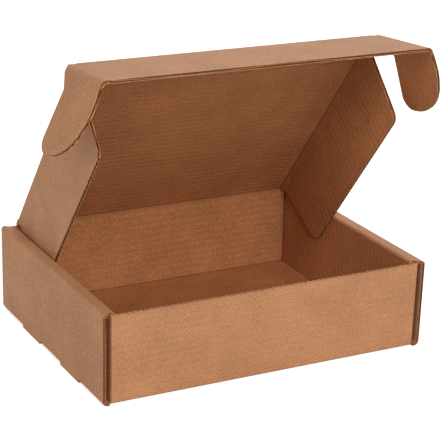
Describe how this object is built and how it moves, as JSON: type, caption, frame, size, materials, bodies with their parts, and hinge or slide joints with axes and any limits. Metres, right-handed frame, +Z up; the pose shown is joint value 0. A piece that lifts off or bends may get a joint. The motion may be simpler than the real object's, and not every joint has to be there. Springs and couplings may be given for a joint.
{
  "type": "corrugated mailer box",
  "caption": "Folded kraft corrugated mailer with rolled double side walls, a half-open hinged lid, a tuck flap with lock ears, and side dust flaps.",
  "frame": {"origin": "middle of the flat underside, halfway between the outer faces of the walls", "axes": "+Z up, the front wall and the tuck flap towards -Y, the lid's crease along X at the back, +X to the right as seen from the front"},
  "size_m": [0.3528, 0.228, 0.268],
  "materials": {
    "kraft_board": "matt brown kraft liner with faint flute lines, and open flutes at its cut edges"
  },
  "bodies": {
    "tray": {"tray": "kraft_board"},
    "lid_panel": {"lid_panel": "kraft_board"},
    "tuck_flap": {"tuck_flap": "kraft_board"},
    "left_lock_ear": {"left_lock_ear": "kraft_board"},
    "right_lock_ear": {"right_lock_ear": "kraft_board"},
    "left_dust_flap": {"left_dust_flap": "kraft_board"},
    "right_dust_flap": {"right_dust_flap": "kraft_board"}
  },
  "joints": [
    {"name": "lid_crease", "type": "hinge", "parent": "tray", "child": "lid_panel", "pos_m": [0, 0.1125, 0.0807], "axis": [-1, 0, 0], "range_deg": [-52, 128]},
    {"name": "tuck_crease", "type": "hinge", "parent": "lid_panel", "child": "tuck_flap", "pos_m": [0, -0.02849, 0.26115], "axis": [-1, 0, 0], "range_deg": [-42, 48]},
    {"name": "left_ear_crease", "type": "hinge", "parent": "tuck_flap", "child": "left_lock_ear", "pos_m": [-0.14875, -0.06839, 0.26394], "axis": [0, 0.9976, -0.0698], "range_deg": [-22, 68]},
    {"name": "right_ear_crease", "type": "hinge", "parent": "tuck_flap", "child": "right_lock_ear", "pos_m": [0.14875, -0.06839, 0.26394], "axis": [0, -0.9976, 0.0698], "range_deg": [-22, 68]},
    {"name": "left_dust_crease", "type": "hinge", "parent": "lid_panel", "child": "left_dust_flap", "pos_m": [-0.1374, 0.05093, 0.1595], "axis": [0, -0.6157, 0.788], "range_deg": [0, 60]},
    {"name": "right_dust_crease", "type": "hinge", "parent": "lid_panel", "child": "right_dust_flap", "pos_m": [0.1374, 0.05093, 0.1595], "axis": [0, 0.6157, -0.788], "range_deg": [0, 60]}
  ]
}
